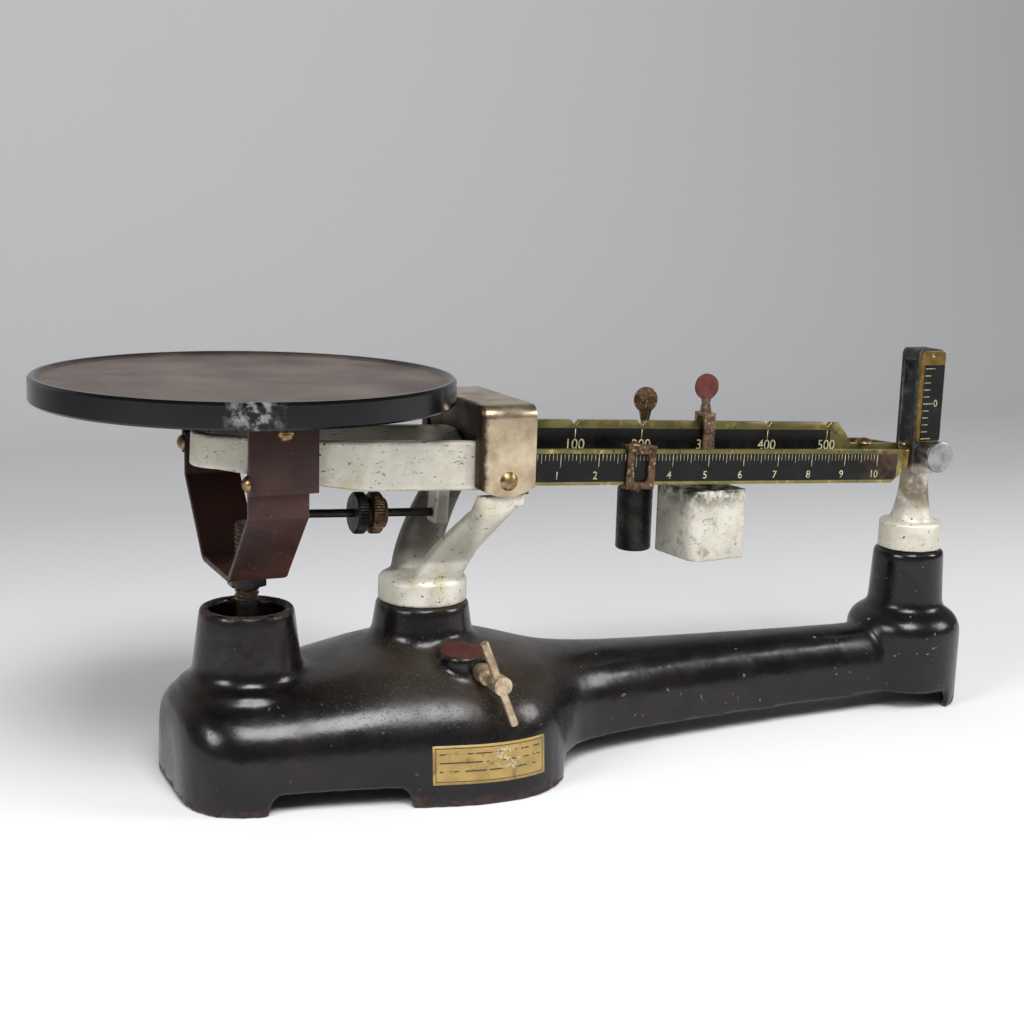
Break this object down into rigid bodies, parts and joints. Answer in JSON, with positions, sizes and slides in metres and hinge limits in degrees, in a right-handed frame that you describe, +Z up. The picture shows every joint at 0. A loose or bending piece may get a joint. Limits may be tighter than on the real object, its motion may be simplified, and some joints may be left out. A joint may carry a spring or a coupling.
{
  "type": "laboratory balance",
  "caption": "Single-pan laboratory beam balance: round pan on a yoke, graduated beams with sliding poises, knife-edge fork, index post and hollow cast base.",
  "frame": {"origin": "on the bench under the middle of the outline", "axes": "+X along the beams from the pan to the index, +Y towards the back, +Z up"},
  "size_m": [0.4045, 0.1524, 0.158],
  "materials": {
    "black_japan": "glossy black stoving enamel over rough iron, chipped and rust-brown along the feet and the open boss",
    "aluminium_paint": "aged aluminium paint, yellowed, with dark pits and rubbed patches",
    "bearing_steel": "hardened steel, dull and dark",
    "satin_nickel": "warm satin nickel plate with a brown tarnish",
    "brass_screw": "domed screw heads, dull brass",
    "beam_brass": "greenish lacquered brass with bright edges",
    "black_fill": "black filled scale face with engraved cream marks",
    "tarnished_brass": "brown tarnished brass",
    "worn_poise_paint": "aluminium paint, streaked and rubbed dark at the edges",
    "dark_steel": "dark oiled steel",
    "red_oxide_paint": "red-brown oxide paint, matte and dusty",
    "pan_black": "moulded black with a glossy rim and a dusty brown top",
    "bright_knob": "turned bright aluminium",
    "worn_nickel": "worn nickel over brass"
  },
  "bodies": {
    "stand": {"base": "black_japan", "fork": "aluminium_paint", "bearing_near": "bearing_steel", "bearing_far": "bearing_steel", "cover": "satin_nickel", "cover_screws": "brass_screw", "link_bracket": "dark_steel", "link_pivot_pin": "bearing_steel", "index_column": "aluminium_paint", "index_plate": "beam_brass", "index_face": "black_fill", "index_pins": "brass_screw"},
    "beam": {"beam_frame": "aluminium_paint", "fulcrum_knife": "bearing_steel", "pan_knife": "bearing_steel", "middle_beam": "beam_brass", "middle_scale": "black_fill", "front_beam": "beam_brass", "front_scale": "black_fill", "rear_beam": "beam_brass", "rear_scale": "black_fill", "pointer": "beam_brass", "pointer_screws": "brass_screw", "balance_rod": "dark_steel"},
    "rider": {"rider": "tarnished_brass", "rider_screw": "tarnished_brass"},
    "large_poise": {"large_poise": "worn_poise_paint", "large_poise_hanger": "tarnished_brass"},
    "rear_poise": {"rear_poise": "dark_steel", "rear_poise_hanger": "tarnished_brass"},
    "outer_nut": {"balance_nut_outer": "dark_steel"},
    "inner_nut": {"balance_nut_inner": "tarnished_brass"},
    "yoke": {"yoke_cheeks": "red_oxide_paint", "yoke_stirrup": "red_oxide_paint", "yoke_bearings": "bearing_steel", "yoke_screws": "brass_screw", "yoke_rod": "dark_steel", "yoke_lock_nut": "dark_steel", "pan_seat": "dark_steel", "link_rod_pin": "bearing_steel"},
    "pan": {"pan": "pan_black"},
    "check_link": {"check_link": "dark_steel"},
    "lock_knob": {"lock_knob": "bright_knob"},
    "tommy_screw": {"tommy_screw": "worn_nickel", "tommy_bar": "worn_nickel"}
  },
  "joints": [
    {"name": "beam_tilt", "type": "hinge", "parent": "stand", "child": "beam", "pos_m": [-0.0323, 0, 0.122], "axis": [0, 1, 0], "range_deg": [-7, 0]},
    {"name": "yoke_level", "type": "hinge", "parent": "beam", "child": "yoke", "pos_m": [-0.12621, 0, 0.12618], "axis": [0, 1, 0], "range_deg": [0, 7]},
    {"name": "check_link_turn", "type": "hinge", "parent": "stand", "child": "check_link", "pos_m": [-0.0323, 0, 0.02], "axis": [0, 1, 0], "range_deg": [-7, 0]},
    {"name": "pan_lift", "type": "slide", "parent": "yoke", "child": "pan", "axis": [0, 0, 1], "range_m": [0, 0.04]},
    {"name": "rider_slide", "type": "slide", "parent": "beam", "child": "rider", "axis": [0.999, 0, -0.0445], "range_m": [-0.044, 0.118]},
    {"name": "large_poise_slide", "type": "slide", "parent": "beam", "child": "large_poise", "axis": [0.999, 0, -0.0445], "range_m": [-0.0835, 0.0604]},
    {"name": "rear_poise_slide", "type": "slide", "parent": "beam", "child": "rear_poise", "axis": [0.999, 0, -0.0445], "range_m": [-0.061, 0.095]},
    {"name": "outer_nut_travel", "type": "slide", "parent": "beam", "child": "outer_nut", "axis": [0.999, 0, -0.0445], "range_m": [-0.018, 0]},
    {"name": "inner_nut_travel", "type": "slide", "parent": "beam", "child": "inner_nut", "axis": [0.999, 0, -0.0445], "range_m": [0, 0.018]},
    {"name": "lock_knob_turn", "type": "hinge", "parent": "stand", "child": "lock_knob", "pos_m": [0.176, -0.012, 0.1126], "axis": [0, 1, 0], "continuous": true},
    {"name": "tommy_screw_turn", "type": "hinge", "parent": "stand", "child": "tommy_screw", "pos_m": [-0.0483, -0.05, 0.046], "axis": [0, 1, 0], "continuous": true}
  ],
  "couplings": [
    {"joint": "yoke_level", "follows": "beam_tilt", "ratio": -1},
    {"joint": "check_link_turn", "follows": "beam_tilt", "ratio": 1}
  ]
}
